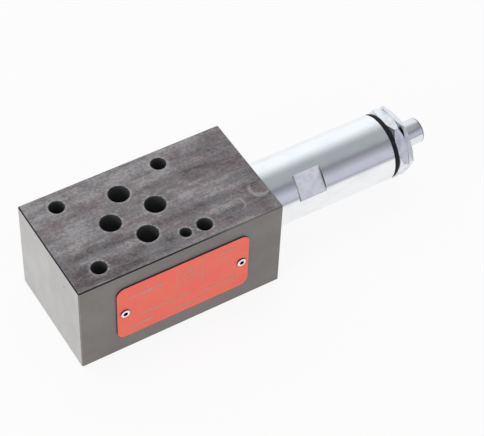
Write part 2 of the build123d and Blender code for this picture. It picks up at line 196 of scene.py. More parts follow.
def new_finish(name, **constants):
    """A material, its Principled shader, and its object coordinates in millimetres."""
    material = bpy.data.materials.new(name)
    material.use_nodes = True
    shader = material.node_tree.nodes["Principled BSDF"]
    for socket, value in constants.items():
        shader.inputs[socket.replace("_", " ")].default_value = value
    coordinates = Wire(material.node_tree.nodes.new("ShaderNodeTexCoord").outputs["Object"])
    scale = {"Vector": coordinates, "Scale": 1 / MM}
    return material, shader, coordinates.node("ShaderNodeVectorMath", {"operation": "SCALE"}, scale)


def split(vector):
    """The three components of a vector wire."""
    first = vector.node("ShaderNodeSeparateXYZ", inputs={0: vector})
    return [Wire(socket) for socket in first.socket.node.outputs]


def facing(place):
    """The three components of the direction that the surface faces."""
    return split(place.node("ShaderNodeTexCoord", output="Normal"))


def cloud(place, size, detail=4.0, roughness=0.55):
    """Noise between 0 and 1; size is its grain in millimetres along X, Y and Z."""
    stretch = {"Vector": place, "Scale": [1 / along for along in size]}
    stretched = place.node("ShaderNodeMapping", inputs=stretch)
    look = {"Vector": stretched, "Scale": 1.0, "Detail": detail, "Roughness": roughness}
    return place.node("ShaderNodeTexNoise", inputs=look)


def relief(height, shader, depth):
    """Bump from a height wire; depth is its height in millimetres."""
    bump = height.node("ShaderNodeBump", inputs={"Height": height, "Distance": depth * MM})
    bump.feed(shader, "Normal")


def dress(node, material):
    """Gives a CAD node its finish."""
    nodes[node].data.materials.clear()
    nodes[node].data.materials.append(material)


def drilled_holes():
    """Centre, radius and lowest level in millimetres of each hole in the top face."""
    holes = []
    for mount in record["mounts"]:
        x, y, z = (value / MM for value in mount["pos_m"])
        if mount["kind"] == "bore":
            holes.append((x, y, mount["dims"]["r_mm"], z - mount["dims"]["length_mm"]))
        if mount["kind"] == "bolt_pattern":
            half = mount["dims"]["spacing_y_mm"] / 2
            holes += [(x, y + side, mount["dims"]["hole_r_mm"], 0) for side in (-half, half)]
    return holes


def from_above(place, x, y, half_length=1, half_width=1):
    """Distance from a point seen from above, in millimetres or in the half sizes of an oval."""
    shrink = (1 / half_length, 1 / half_width, 0)
    flat = place.node("ShaderNodeVectorMath", {"operation": "MULTIPLY"}, {0: place, 1: shrink})
    return flat.distance((x / half_length, y / half_width, 0))


def hole_distance(place):
    """Distance in millimetres from the rim of the nearest hole, negative inside it."""
    nearest = None
    _, _, z = split(place)
    for x, y, radius, lowest in drilled_holes():
        deeper = 1 - z.above(lowest - 1, lowest - 0.9)
        rim = from_above(place, x, y) - radius + BELOW_HOLE * deeper
        nearest = rim if nearest is None else rim.least(nearest)
    return nearest


block_finish, shader, place = new_finish("phosphated_steel", Metallic=0.25, Specular_IOR_Level=0.4)
facing_x, facing_y, facing_z = [abs(part) for part in facing(place)]
patches = cloud(place, (16, 10, 9), 3.0, 0.6)
smears = cloud(place, (30, 3.4, 8), 7.0, 0.72)
stains = cloud(place, (4.6, 3.2, 3), 5.0, 0.72)
hairlines = cloud(place, (9, 0.5, 3), 4.0, 0.7)
grain = cloud(place, (1.0, 0.85, 0.9), 4.0, 0.8)

tone = TOP_TONE + patches.swing(1.2) + smears.swing(1.2) + stains.swing(0.9) + grain.swing(1.7)
tone = tone + hairlines.swing(0.5)
stray = place.node("ShaderNodeCombineXYZ", inputs={
    0: patches.swing(WORN_STRAY[0]), 1: stains.swing(WORN_STRAY[1]),
})
ragged = place.node("ShaderNodeVectorMath", {"operation": "ADD"}, {0: place, 1: stray})
for x, y, half_length, half_width, lighter in WORN_PLACES:
    outline = from_above(ragged, x, y, half_length, half_width)
    tone = tone + lighter * (1 - outline.above(0.3, 1.3))
tint = cloud(place, (11, 7, 8), 3.0).above(0.42, 0.58).blend(TOP_GREY, TOP_VIOLET)
top = tone.above(0.45, 1.0).blend(tint, TOP_PALE)
top = (1 - tone.above(-0.05, 0.5)).blend(top, TOP_DARK)
for (outer_x, outer_y, outer_radius), (inner_x, inner_y, inner_radius) in CRESCENT_MARKS:
    past_outer = from_above(place, outer_x, outer_y) - outer_radius + stains.swing(CRESCENT_STRAY)
    past_inner = from_above(place, inner_x, inner_y) - inner_radius + grain.swing(CRESCENT_STRAY)
    crescent = (1 - past_outer.above(-0.5, 0.4)) * past_inner.above(-0.5, 0.5)
    top = (crescent * (0.3 + 0.8 * grain)).blend(top, TOP_PALE)

side = (cloud(place, (14, 30, 9), 4.0).above(0.35, 0.7) * 0.5).blend(SIDE_GREY, SIDE_PALE)
side = (grain.above(0.45, 0.8) * 0.3).blend(side, TOP_DARK)
end = cloud(place, (9, 9, 26), 3.0).above(0.35, 0.7).blend(END_GREY, END_PALE)
end = (grain.above(0.45, 0.75) * 0.14).blend(end, TOP_DARK)
on_speck = 1 - place.distance(SPECK).above(0.5 * SPECK_RADIUS, SPECK_RADIUS)
end = on_speck.blend(end, SPECK_AND_EDGE_REFLECTION_BLACK)
colour = facing_z.above(0.7, 0.9).blend(side, top)
colour = facing_x.above(0.7, 0.9).blend(colour, end)

rim = hole_distance(place)
rubbed = 1 - (rim + stains.swing(RIM_STRAY)).above(0.4, 1.5)
speckle = 0.1 + 0.75 * grain.above(0.42, 0.6)
colour = (rubbed * facing_z.above(0.9, 0.98) * speckle).blend(colour, RUBBED_RIM)
# The chamfers along the top face get a painted dark reflection, which fades out towards the far end.
squareness = facing_x.most(facing_y).most(facing_z)
along, _, _ = split(place)
fading = 1 - 0.75 * (along + EDGE_REFLECTION_STRAY * patches).above(*EDGE_REFLECTION_FADE)
edge = (1 - squareness.above(0.75, 0.92)) * facing_z.above(0.3, 0.5) * fading
colour = edge.blend(colour, SPECK_AND_EDGE_REFLECTION_BLACK)
# Painted shade: the walls inside the holes are coloured near black.
colour = (1 - rim.above(0.0, 0.12)).blend(colour, BORE_SHADE_BLACK)
colour.feed(shader, "Base Color")
(0.36 + 0.3 * patches).feed(shader, "Roughness")
relief(hairlines + 0.5 * grain, shader, 0.02)
dress("valve_block", block_finish)

# Four seals lie squeezed in the recesses round the ports of the bottom face. They are moulded
# nitrile rubber, and the same black rubber makes the ring seals inside the cartridge.
RUBBER_BLACK = (0.012, 0.013, 0.014, 1)
RUBBER_DUSTY = (0.035, 0.037, 0.038, 1)


def rubber_finish(name, roughness):
    """Black moulded rubber with a trace of talc."""
    material, shader, place = new_finish(name, Specular_IOR_Level=0.15)
    dust = cloud(place, (1.6, 1.6, 1.6), 5.0, 0.65)
    dust.above(0.45, 0.8).blend(RUBBER_BLACK, RUBBER_DUSTY).feed(shader, "Base Color")
    (roughness + 0.2 * dust).feed(shader, "Roughness")
    relief(cloud(place, (0.25, 0.25, 0.25), 2.0), shader, 0.01)
    return material


seal_rubber = rubber_finish("seal_rubber", 0.35)
for node in (
    "interface_orings", "housing_oring", "sleeve_oring", "pilot_seat_oring", "plunger_oring",
):
    dress(node, seal_rubber)

# The nameplate is a thin steel plate enamelled red, and its edges are coloured near black. A faint grey print on
# it shows the graphic symbol of a relief valve between two lines of flow, and blank fields for the data that would
# be stamped in.
PLATE_RED = (1.0, 0.141, 0.097, 1)
PLATE_ORANGE = (1.0, 0.172, 0.106, 1)
PLATE_EDGE = (0.035, 0.02, 0.018, 1)
PRINT_GREY = (0.68, 0.31, 0.26, 1)
PRINT_WORN = (0.93, 0.2, 0.145, 1)
PRINT_HEIGHT = 0.03
PRINT_STEP = 0.001  # each stroke stands this much higher than the last, so that no two coincide
SYMBOL_LINE = 0.5
SYMBOL = [  # each line as the points that it runs through, in millimetres from the plate's middle
    [(-2.6, -1.5), (-2.6, 11.5)],  # the two lines of flow
    [(7.4, -1.5), (7.4, 11.5)],
    [(0.2, 2.5), (4.6, 2.5), (4.6, 6.9), (0.2, 6.9), (0.2, 2.5)],  # the valve's square
    [(-2.6, 4.7), (0.2, 4.7)],  # what joins it to the lines of flow
    [(4.6, 4.7), (7.4, 4.7)],
    [(0.9, 5.3), (3.9, 5.3), (3.2, 5.8)],  # the arrow in it, and the arrow's other barb
    [(3.9, 5.3), (3.2, 4.8)],
    [(1.8, 6.9), (3.0, 7.6), (1.8, 8.3), (3.0, 9.0), (1.8, 9.7)],  # its spring
    [(1.0, 7.2), (4.0, 9.2)],  # the stroke across the spring, which says that it is adjustable
    [(0.2, 3.2), (0.2, 2.7)],  # the dashes of its pilot line
    [(-0.7, 2.2), (-0.7, 1.7)],
    [(-1.6, 1.2), (-1.6, 0.7)],
]
BLANK_FIELDS = [  # left end, level, right end and breadth of each bar
    (-20.5, 7.0, -9.5, 2.0),
    (14.5, 9.0, 20.5, 1.0),
    (13.5, 6.9, 17.5, 1.0),
    (-16.0, -4.0, -6.5, 1.7),
    (-4.5, -4.2, 1.5, 1.5),
    (7.5, -6.6, 20.5, 1.4),
    (-2.0, -9.6, 6.0, 1.4),
    (-20.5, -8.8, -13.0, 1.5),
]
plate_finish, shader, place = new_finish("red_enamel", Specular_IOR_Level=0.5, Coat_Weight=0.15)
fade = cloud(place, (16, 16, 12), 3.0)
enamel = fade.above(0.35, 0.65).blend(PLATE_RED, PLATE_ORANGE)
_, facing_back, _ = facing(place)
facing_back.above(-0.9, -0.5).blend(enamel, PLATE_EDGE).feed(shader, "Base Color")
(0.42 + 0.15 * fade).feed(shader, "Roughness")
relief(cloud(place, (0.5, 0.5, 0.5), 3.0), shader, 0.006)
dress("nameplate", plate_finish)

print_finish, shader, place = new_finish("worn_print", Specular_IOR_Level=0.3, Roughness=0.55)
wear = cloud(place, (0.8, 1, 1.2), 4.0, 0.7).above(0.42, 0.58)
wear.blend(PRINT_GREY, PRINT_WORN).feed(shader, "Base Color")


def new_object(form, name, material):
    """An object with a finished form as its mesh."""
    mesh = bpy.data.meshes.new(name)
    form.to_mesh(mesh)
    form.free()
    mesh.materials.append(material)
    made = bpy.data.objects.new(name, mesh)
    bpy.context.scene.collection.objects.link(made)
    return made


plate_low, plate_high = (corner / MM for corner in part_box("nameplate"))
middle_x, middle_z = (plate_low.x + plate_high.x) / 2, (plate_low.z + plate_high.z) / 2
strokes = [(*start, *end, SYMBOL_LINE) for line in SYMBOL for start, end in zip(line, line[1:])]
strokes += [(left, level, right, level, breadth) for left, level, right, breadth in BLANK_FIELDS]
print_form = bmesh.new()
for count, (start_x, start_z, end_x, end_z, width) in enumerate(strokes):
    run = Vector((end_x - start_x, 0, end_z - start_z))
    centre = (middle_x + (start_x + end_x) / 2, plate_low.y, middle_z + (start_z + end_z) / 2)
    size = (run.length + width, 2 * (PRINT_HEIGHT + PRINT_STEP * count), width, 1)
    turn = Matrix.Rotation(-math.atan2(run.z, run.x), 4, "Y")
    bar = Matrix.Scale(MM, 4) @ Matrix.Translation(centre) @ turn @ Matrix.Diagonal(size)
    bmesh.ops.create_cube(print_form, size=1, matrix=bar)
nameplate_print = new_object(print_form, "nameplate_print", print_finish)
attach(nameplate_print, "valve_body")

# Two drive rivets with hollow heads hold the nameplate. They are bright zinc-plated steel, with painted shade
# darkening the hollow and a painted shadow where the head meets the plate.
ZINC_BRIGHT = (0.95, 0.95, 0.94, 1)
ZINC_GREY = (0.75, 0.76, 0.77, 1)
HOLLOW_SHADE_BLACK = (0.006, 0.006, 0.006, 1)
RIVET_HOLLOW = 0.9
RIVET_RIM = 1.72
RIVET_BLUR = 0.06
rivet_finish, shader, place = new_finish("rivet_zinc", Metallic=0.7)
plating = cloud(place, (1, 1, 1)).above(0.4, 0.8).blend(ZINC_BRIGHT, ZINC_GREY)
rivet_low, rivet_high = (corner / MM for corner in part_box("nameplate_rivets"))
head_radius = (rivet_high.z - rivet_low.z) / 2
half_apart = (rivet_high.x - rivet_low.x) / 2 - head_radius
x, _, z = split(place)
across = abs(x - (rivet_low.x + rivet_high.x) / 2) - half_apart
height = z - (rivet_low.z + rivet_high.z) / 2
radius = (across * across + height * height) ** 0.5
# Painted shade fills the hollow out past its drilled edge, and a ring of painted shadow lies round the head's
# edge.
painted_hollow_shade = 1 - radius.above(RIVET_HOLLOW - RIVET_BLUR, RIVET_HOLLOW)
rim = radius.above(RIVET_RIM - RIVET_BLUR, RIVET_RIM)
painted_hollow_shade.most(rim).blend(plating, HOLLOW_SHADE_BLACK).feed(shader, "Base Color")
(0.3 + 0.2 * cloud(place, (0.6, 0.6, 0.6))).feed(shader, "Roughness")
dress("nameplate_rivets", rivet_finish)

# The sleeve, spool, seat, poppet, plunger and discs inside the cartridge are hardened steel. They
# are turned and then ground, so fine rings run round them.
GROUND_STEEL = (0.5, 0.5, 0.51, 1)
GROUND_BRIGHT = (0.66, 0.66, 0.67, 1)
hardened, shader, place = new_finish("hardened_steel", Metallic=1.0)
rings = cloud(place, (0.25, 60, 60), 2.0)
rings.above(0.3, 0.7).blend(GROUND_STEEL, GROUND_BRIGHT).feed(shader, "Base Color")
(0.22 + 0.18 * rings).feed(shader, "Roughness")
relief(rings, shader, 0.004)
for node in (
    "valve_sleeve", "main_spool", "spool_orifice", "pilot_seat", "pilot_poppet",
    "poppet_spring_plate", "spring_plunger", "thrust_disc",
):
    dress(node, hardened)

# Two rings of white plastic back up the seal on the sleeve's nose. Each is cut through once, so
# that it can be opened and snapped into its groove.
PLASTIC_WHITE = (0.8, 0.78, 0.72, 1)
PLASTIC_CREAM = (0.7, 0.66, 0.58, 1)
backup_finish, shader, place = new_finish("backup_plastic", Roughness=0.55)
cloud(place, (1.5, 1.5, 1.5)).blend(PLASTIC_WHITE, PLASTIC_CREAM).feed(shader, "Base Color")
dress("sleeve_backup_rings", backup_finish)

# Both springs are wound from oil-tempered wire, with their ends ground flat. The light one closes the spool. The
# strong one sets the pressure, and it is made as two lengths that meet end to end.
WIRE_DARK = (0.06, 0.055, 0.05, 1)
WIRE_BROWN = (0.16, 0.14, 0.125, 1)
WIRE_SIDES = 16
WIRE_STEPS = 40  # in each turn
ON_CUT = 0.0001  # vertices nearer than this to a cut lie on it
CREASE_ANGLE = math.radians(35)
MAIN_WIRE, MAIN_TURNS = 0.8, 8
PILOT_WIRE, PILOT_TURNS = 2.6, 5
MEETING = 0.25  # share of the strong spring's length where its two lengths meet
housing_low, housing_high = (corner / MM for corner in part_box("spring_housing"))
cartridge_height = (housing_low.z + housing_high.z) / 2
spring_finish, shader, place = new_finish("spring_wire", Metallic=0.85)
scale = cloud(place, (1.2, 1.2, 1.2), 5.0)
scale.above(0.35, 0.75).blend(WIRE_DARK, WIRE_BROWN).feed(shader, "Base Color")
(0.35 + 0.25 * scale).feed(shader, "Roughness")


def edges_of(vertices):
    """The edges at some vertices, each once and in the same order in each run."""
    return list(dict.fromkeys(edge for vertex in vertices for edge in vertex.link_edges))


def wind(form, profile, reach, turns, steps_per_turn):
    """Sweeps a profile round the X axis in a helix that moves it by reach."""
    steps = math.ceil(turns * steps_per_turn)
    bmesh.ops.spin(form, geom=profile, axis=(1, 0, 0), cent=(0, 0, 0), dvec=(reach / steps, 0, 0),
                   angle=math.tau * turns, steps=steps, use_merge=False)


def slice_off(form, point, outward):
    """Cuts a form through a point and closes the cut. What lies on the outward side goes."""
    everything = form.verts[:] + form.edges[:] + form.faces[:]
    cut = bmesh.ops.bisect_plane(form, geom=everything, dist=ON_CUT, plane_co=point,
                                 plane_no=outward, clear_outer=True)
    rim = [item for item in cut["geom_cut"] if isinstance(item, bmesh.types.BMEdge)]
    bmesh.ops.contextual_create(form, geom=rim)


def settle(form, name, finish, replaced):
    """Puts a form made round the origin's X axis on the cartridge's axis, and makes it a piece."""
    rise = Matrix.Translation((0, 0, cartridge_height))
    bmesh.ops.transform(form, matrix=rise, verts=form.verts)
    bmesh.ops.scale(form, vec=(MM, MM, MM), verts=form.verts)
    for face in form.faces:
        face.smooth = True
    for edge in form.edges:
        edge.smooth = not (edge.is_manifold and edge.calc_face_angle(0) > CREASE_ANGLE)
    piece = new_object(form, name, finish)
    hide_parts(replaced)
    return piece


def wound_spring(node, name, wire, turns, first=0, last=1):
    """Round wire wound between the ends of a CAD spring, from one share of its length to another.

    The whole spring's ends are ground flat, half the wire's thickness deep.
    """
    low, high = (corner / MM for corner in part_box(node))
    reach = high.x - low.x + wire
    turns *= reach / (high.x - low.x)
    form = bmesh.new()
    start = (low.x - wire / 2 + first * reach, 0, (high.z - low.z - wire) / 2)
    stand = Matrix.Rotation(math.tau * turns * first, 4, "X") @ Matrix.Translation(start)
    stand = stand @ Matrix.Rotation(math.pi / 2, 4, "X")
    circle = bmesh.ops.create_circle(form, segments=WIRE_SIDES, radius=wire / 2, matrix=stand)
    section = circle["verts"]
    profile = section + edges_of(section)
    wind(form, profile, (last - first) * reach, (last - first) * turns, WIRE_STEPS)
    if first == 0:
        slice_off(form, (low.x, 0, 0), (-1, 0, 0))
    if last == 1:
        slice_off(form, (high.x, 0, 0), (1, 0, 0))
    bmesh.ops.holes_fill(form, edges=form.edges, sides=0)
    bmesh.ops.recalc_face_normals(form, faces=form.faces)
    return settle(form, name, spring_finish, node)


def on_axis(x):
    """A point on the cartridge's axis in metres, from its x in millimetres."""
    return x * MM, 0, cartridge_height * MM


main_coil = wound_spring("main_spring", "main_spring_coil", MAIN_WIRE, MAIN_TURNS)
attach(main_coil, "valve_body")
main_low, main_high = (corner.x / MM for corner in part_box("main_spring"))
lift = next(joint["range_m"][1] for joint in frame["joints"] if joint["name"] == "spool_lift")
keep = 1 - lift / MM / (main_high - main_low)
on_axis(main_high)
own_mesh(main_coil)

near_coil = wound_spring(
    "pilot_spring", "pilot_spring_near_end", PILOT_WIRE, PILOT_TURNS, last=MEETING)
far_coil = wound_spring(
    "pilot_spring", "pilot_spring_coil", PILOT_WIRE, PILOT_TURNS, first=MEETING)
pilot_low, pilot_high = (corner.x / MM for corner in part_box("pilot_spring"))
meeting_x = pilot_low - PILOT_WIRE / 2 + MEETING * (pilot_high - pilot_low + PILOT_WIRE)
near_end, far_start = meeting_x - PILOT_WIRE / 2, meeting_x + PILOT_WIRE / 2
on_axis(pilot_low)
on_axis(near_end)
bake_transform(near_coil)
on_axis(far_start)
on_axis(pilot_high)
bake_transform(far_coil)

# The spring housing is turned from steel bar and zinc plated. Two wrench flats are milled into its
# tube, and their ground is matt beside the satin of the turned skin.
TUBE_ZINC = (0.9, 0.915, 0.93, 1)
TUBE_SHADE = (0.8, 0.815, 0.84, 1)
FLAT_ZINC = (0.94, 0.955, 1.0, 1)
FLAT_GREY = (0.74, 0.755, 0.86, 1)
WALL_AND_CORNER_SHADE = (0.012, 0.012, 0.014, 1)
PAST_SHANK = (60.0, 60.1)  # from here on, only the flats lie inside the tube's radius
MILLED_DEPTH = (0.04, 0.12)
FLAT_SHADOW = 0.55
FLAT_SHADOW_END = (63.25, 63.65)
tube_radius = (housing_high.z - housing_low.z) / 2
housing_finish, shader, place = new_finish("satin_zinc")


def round_axis(place):
    """x, y, the height above the cartridge's axis, and the distance from that axis."""
    x, y, z = split(place)
    height = z - cartridge_height
    return x, y, height, (y * y + height * height) ** 0.5


x, _, _, radius = round_axis(place)
milled = (tube_radius - radius).above(*MILLED_DEPTH) * x.above(*PAST_SHANK)
blotches = cloud(place, (9, 5, 5), 4.0)
turning = cloud(place, (0.12, 90, 90), 2.0)
skin = (blotches.above(0.4, 0.75) * 0.6).blend(TUBE_ZINC, TUBE_SHADE)
frost = cloud(place, (2.4, 2.6, 2.6), 4.0, 0.6).above(0.34, 0.72) * 0.9
skin = milled.blend(skin, frost.blend(FLAT_ZINC, FLAT_GREY))
facing_along, _, _ = facing(place)
# Painted shade: the walls of the flats are near black, and a painted shadow lies on each flat along the wall at
# its start.
wall = abs(facing_along).above(0.6, 0.9)
shadow = FLAT_SHADOW * (1 - x.above(*FLAT_SHADOW_END))
(milled * wall.most(shadow)).blend(skin, WALL_AND_CORNER_SHADE).feed(shader, "Base Color")
(1 - 0.58 * milled).feed(shader, "Metallic")
(0.14 + 0.06 * blotches + 0.05 * turning + 0.12 * milled).feed(shader, "Roughness")
relief(turning + 0.6 * cloud(place, (0.8, 0.8, 0.8), 3.0) * milled, shader, 0.0015)
dress("spring_housing", housing_finish)

# A black ring seals the housing's rim under the lock nut. It is rubber like the inner seals, but
# duller, because it is out in the open.
dress("lock_nut_seal", rubber_finish("rim_rubber", 0.5))

# The lock nut is rolled hexagon bar, bored and threaded, with its corners chamfered on both faces.
# The zinc on its flats is cloudy, and painted shade darkens the slit between it and the hexagon of the screw near
# one corner.
HEXAGON_SIZE = 24.0
HEXAGON_TURN = 23.5
FACE_RADIUS = 12.2
CORNER_RADIUS = HEXAGON_SIZE / 2 / math.cos(math.radians(30))
NUT_START, NUT_END = 106.35, 110.46
NUT_SEAL_CHAMFER, NUT_HEAD_CHAMFER = 1.1, 1.6
NUT_BORE = 10.0
STUB_FINISH = (112.6, 112.8)
STUB_RIM_REFLECTION_RANGE = (122.1, 122.4)
SLIT_MIDDLE, SLIT_HALF_WIDTH = NUT_END + 0.1, (0.15, 0.35)
SLIT_SHADE_TURN = math.radians(HEXAGON_TURN + 11)
SLIT_SHADE_SPREAD = (0.96, 0.98)  # the cosines of how far from that turn it ends
ROUND_STEPS = 96
WELD = 0.001
SLIVER = 0.02  # edges shorter than this are closed before the others are rounded
BEVEL_ANGLE = math.radians(25)
SOFT_EDGE = 0.07
HEX_ZINC = (0.87, 0.885, 0.905, 1)
HEX_CLOUD = (0.63, 0.645, 0.69, 1)
STUB_ZINC = (0.78, 0.795, 0.8, 1)
STUB_RIM_REFLECTION = (0.3, 0.31, 0.33, 1)
SLIT_SHADE = (0.015, 0.015, 0.02, 1)
hex_finish, shader, place = new_finish("hexagon_zinc")
cloudy = cloud(place, (3.5, 4.5, 4.5), 5.0, 0.6)
x, y, height, radius = round_axis(place)
facing_along, _, _ = facing(place)
on_stub = x.above(*STUB_FINISH)
painted_stub_rim_reflection = x.above(*STUB_RIM_REFLECTION_RANGE) * (1 - facing_along.above(0.9, 0.98))
in_slit = 1 - abs(x - SLIT_MIDDLE).above(*SLIT_HALF_WIDTH)
in_slit = in_slit * abs(facing_along).above(0.25, 0.4)
towards_slit_shade = (height * math.cos(SLIT_SHADE_TURN) - y * math.sin(SLIT_SHADE_TURN)) / radius
plating = cloudy.above(0.4, 0.75).blend(HEX_ZINC, HEX_CLOUD)
plating = (0.75 * on_stub).blend(plating, STUB_ZINC)
# Painted dark reflection on the chamfer round the stub's end.
plating = painted_stub_rim_reflection.blend(plating, STUB_RIM_REFLECTION)
# Painted shade darkens the slit between the hexagons near one corner.
plating = (in_slit * towards_slit_shade.above(*SLIT_SHADE_SPREAD)).blend(plating, SLIT_SHADE)
plating.feed(shader, "Base Color")
(0.85 + 0.15 * cloudy).feed(shader, "Metallic")
(0.2 + 0.24 * cloudy - 0.14 * on_stub).feed(shader, "Roughness")
relief(cloud(place, (0.5, 0.5, 0.5), 3.0) * (1 - on_stub), shader, 0.004)


def turned(form, stations, closed=False):
    """Turns a profile of (x, radius) stations in millimetres round the X axis."""
    points = [form.verts.new((x, 0, radius)) for x, radius in stations]
    ends = points[1:] + points[:1] if closed else points[1:]
    profile = points + [form.edges.new(pair) for pair in zip(points, ends)]
    bmesh.ops.spin(form, geom=profile, axis=(1, 0, 0), cent=(0, 0, 0), angle=math.tau,
                   steps=ROUND_STEPS, use_merge=True)
    bmesh.ops.remove_doubles(form, verts=form.verts, dist=WELD)


def mill_hexagon(form):
    """Cuts six flats, with a corner at HEXAGON_TURN degrees from straight up."""
    for corner in range(6):
        angle = math.radians(HEXAGON_TURN + 30 + 60 * corner)
        outward = Vector((0, -math.sin(angle), math.cos(angle)))
        slice_off(form, outward * HEXAGON_SIZE / 2, outward)


def soften(form, width):
    """Rounds the edges between faces that meet at an angle."""
    bmesh.ops.remove_doubles(form, verts=form.verts, dist=SLIVER)
    bmesh.ops.recalc_face_normals(form, faces=form.faces)
    sharp = [
        edge for edge in form.edges if edge.is_manifold and edge.calc_face_angle(0) > BEVEL_ANGLE
    ]
    bmesh.ops.bevel(form, geom=sharp, offset=width, segments=2, profile=0.5, affect="EDGES",
                    material=-1, clamp_overlap=True)


nut_form = bmesh.new()
turned(nut_form, [
    (NUT_START, NUT_BORE),
    (NUT_START, FACE_RADIUS),
    (NUT_START + NUT_SEAL_CHAMFER, CORNER_RADIUS),
    (NUT_END - NUT_HEAD_CHAMFER, CORNER_RADIUS),
    (NUT_END, FACE_RADIUS),
    (NUT_END, NUT_BORE),
], closed=True)
mill_hexagon(nut_form)
soften(nut_form, SOFT_EDGE)
nut_body = settle(nut_form, "lock_nut_body", hex_finish, "lock_nut")
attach(nut_body, "nut")

# The adjusting screw is turned from the same bar. It has a pin that bears on the plunger, a shank
# with a fine thread, the hexagon, and a stub with a socket for a key in its end.
PIN_START, PIN_END, PIN_RADIUS = 83.5, 90.0, 4.5
PIN_CHAMFER = 0.5
PIN_ROOT = 1.0  # how far the pin runs on inside the shank
SHANK_END = 111.0
THREAD_PITCH = 1.0
THREAD_CREST, THREAD_CORE = 9.95, 9.35
THREAD_START = PIN_END + 0.02
THREAD_WELD = 0.01
HEAD_START, HEAD_END = 110.5, 112.5
HEAD_NUT_CHAMFER, HEAD_STUB_CHAMFER = 0.7, 0.9
STUB_END, STUB_RADIUS, STUB_CHAMFER = 123.05, 4.9, 0.5
STUB_ROOT = 0.5  # how far the stub runs on inside the hexagon
STUB_SOFT_EDGE = 0.08
SOCKET_SIZE, SOCKET_DEPTH = 5.0, 6.0


def join(form, other):
    """Adds another form to a form."""
    mesh = bpy.data.meshes.new("joined")
    other.to_mesh(mesh)
    other.free()
    form.from_mesh(mesh)
    bpy.data.meshes.remove(mesh)


screw_form = bmesh.new()
turned(screw_form, [
    (HEAD_START, 0),
    (HEAD_START, FACE_RADIUS),
    (HEAD_START + HEAD_NUT_CHAMFER, CORNER_RADIUS),
    (HEAD_END - HEAD_STUB_CHAMFER, CORNER_RADIUS),
    (HEAD_END, FACE_RADIUS),
    (HEAD_END, 0),
])
mill_hexagon(screw_form)
turned(screw_form, [
    (PIN_START, 0),
    (PIN_START, PIN_RADIUS - PIN_CHAMFER),
    (PIN_START + PIN_CHAMFER, PIN_RADIUS),
    (PIN_END + PIN_ROOT, PIN_RADIUS),
    (PIN_END + PIN_ROOT, 0),
])
soften(screw_form, SOFT_EDGE)

thread = bmesh.new()
turns = math.ceil((SHANK_END - PIN_END) / THREAD_PITCH) + 2
ridge = [  # share of the pitch, and radius there
    (0, THREAD_CORE), (0.1, THREAD_CORE), (0.43, THREAD_CREST),
    (0.57, THREAD_CREST), (0.9, THREAD_CORE), (1, THREAD_CORE),
]
points = [
    thread.verts.new((PIN_END - THREAD_PITCH * (1 - share), 0, radius)) for share, radius in ridge
]
profile = points + [thread.edges.new(pair) for pair in zip(points, points[1:])]
wind(thread, profile, turns * THREAD_PITCH, turns, ROUND_STEPS // 2)
bmesh.ops.remove_doubles(thread, verts=thread.verts, dist=THREAD_WELD)
slice_off(thread, (THREAD_START, 0, 0), (-1, 0, 0))
slice_off(thread, (SHANK_END, 0, 0), (1, 0, 0))
bmesh.ops.recalc_face_normals(thread, faces=thread.faces)
join(screw_form, thread)

stub = bmesh.new()
turned(stub, [
    (HEAD_END - STUB_ROOT, 0),
    (HEAD_END - STUB_ROOT, STUB_RADIUS),
    (STUB_END - STUB_CHAMFER, STUB_RADIUS),
    (STUB_END, STUB_RADIUS - STUB_CHAMFER),
])
mouth = [edge for edge in stub.edges if edge.is_boundary]
stand = Matrix.Translation((STUB_END, 0, 0)) @ Matrix.Rotation(math.pi / 2, 4, "Y")
socket_radius = SOCKET_SIZE / 2 / math.cos(math.radians(30))
socket = bmesh.ops.create_circle(stub, segments=6, radius=socket_radius, matrix=stand)
bmesh.ops.subdivide_edges(stub, edges=edges_of(socket["verts"]), cuts=ROUND_STEPS // 6 - 1)
socket_rim = [edge for edge in stub.edges if edge.is_wire]
bmesh.ops.bridge_loops(stub, edges=mouth + socket_rim)
walls = bmesh.ops.extrude_edge_only(stub, edges=socket_rim)["geom"]
bottom = [item for item in walls if isinstance(item, bmesh.types.BMVert)]
bmesh.ops.translate(stub, vec=(-SOCKET_DEPTH, 0, 0), verts=bottom)
bottom_rim = [item for item in walls if isinstance(item, bmesh.types.BMEdge) and item.is_boundary]
bmesh.ops.contextual_create(stub, geom=bottom_rim)
soften(stub, STUB_SOFT_EDGE)
join(screw_form, stub)
screw_body = settle(
    screw_form, "adjusting_screw_body", hex_finish, "adjusting_screw")
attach(screw_body, "screw")

# The valve lies on a white sheet in a light tent: white behind and below, grey above the camera,
# and a faint violet wall in front. Darker bands hang behind it on both sides of a white window,
# which is all that the photo's view mirrors. Lamps outside light it from the left and from above.
FLOOR_SIZE = 4.0
FLOOR_WHITE = (0.9, 0.9, 0.9, 1)
FLOOR_GLOW = 0.88  # how far what is seen of the floor is plain white instead of lit paper
SHEET_FRONT = (-260, -130)  # in what the pieces mirror, the sheet fades out between these y
PAST_SHEET = (0.3, 0.3, 0.33, 1)
WHITE = (1, 1, 1, 1)


def seen_directly(tree):
    """1 for rays from the camera; and 1 for those and for rays that a piece mirrors or bends."""
    path = tree.nodes.new("ShaderNodeLightPath")
    camera = Wire(path.outputs["Is Camera Ray"])
    glossy = Wire(path.outputs["Is Glossy Ray"])
    through = Wire(path.outputs["Is Transmission Ray"])
    return camera, (camera + glossy + through).least(1.0)


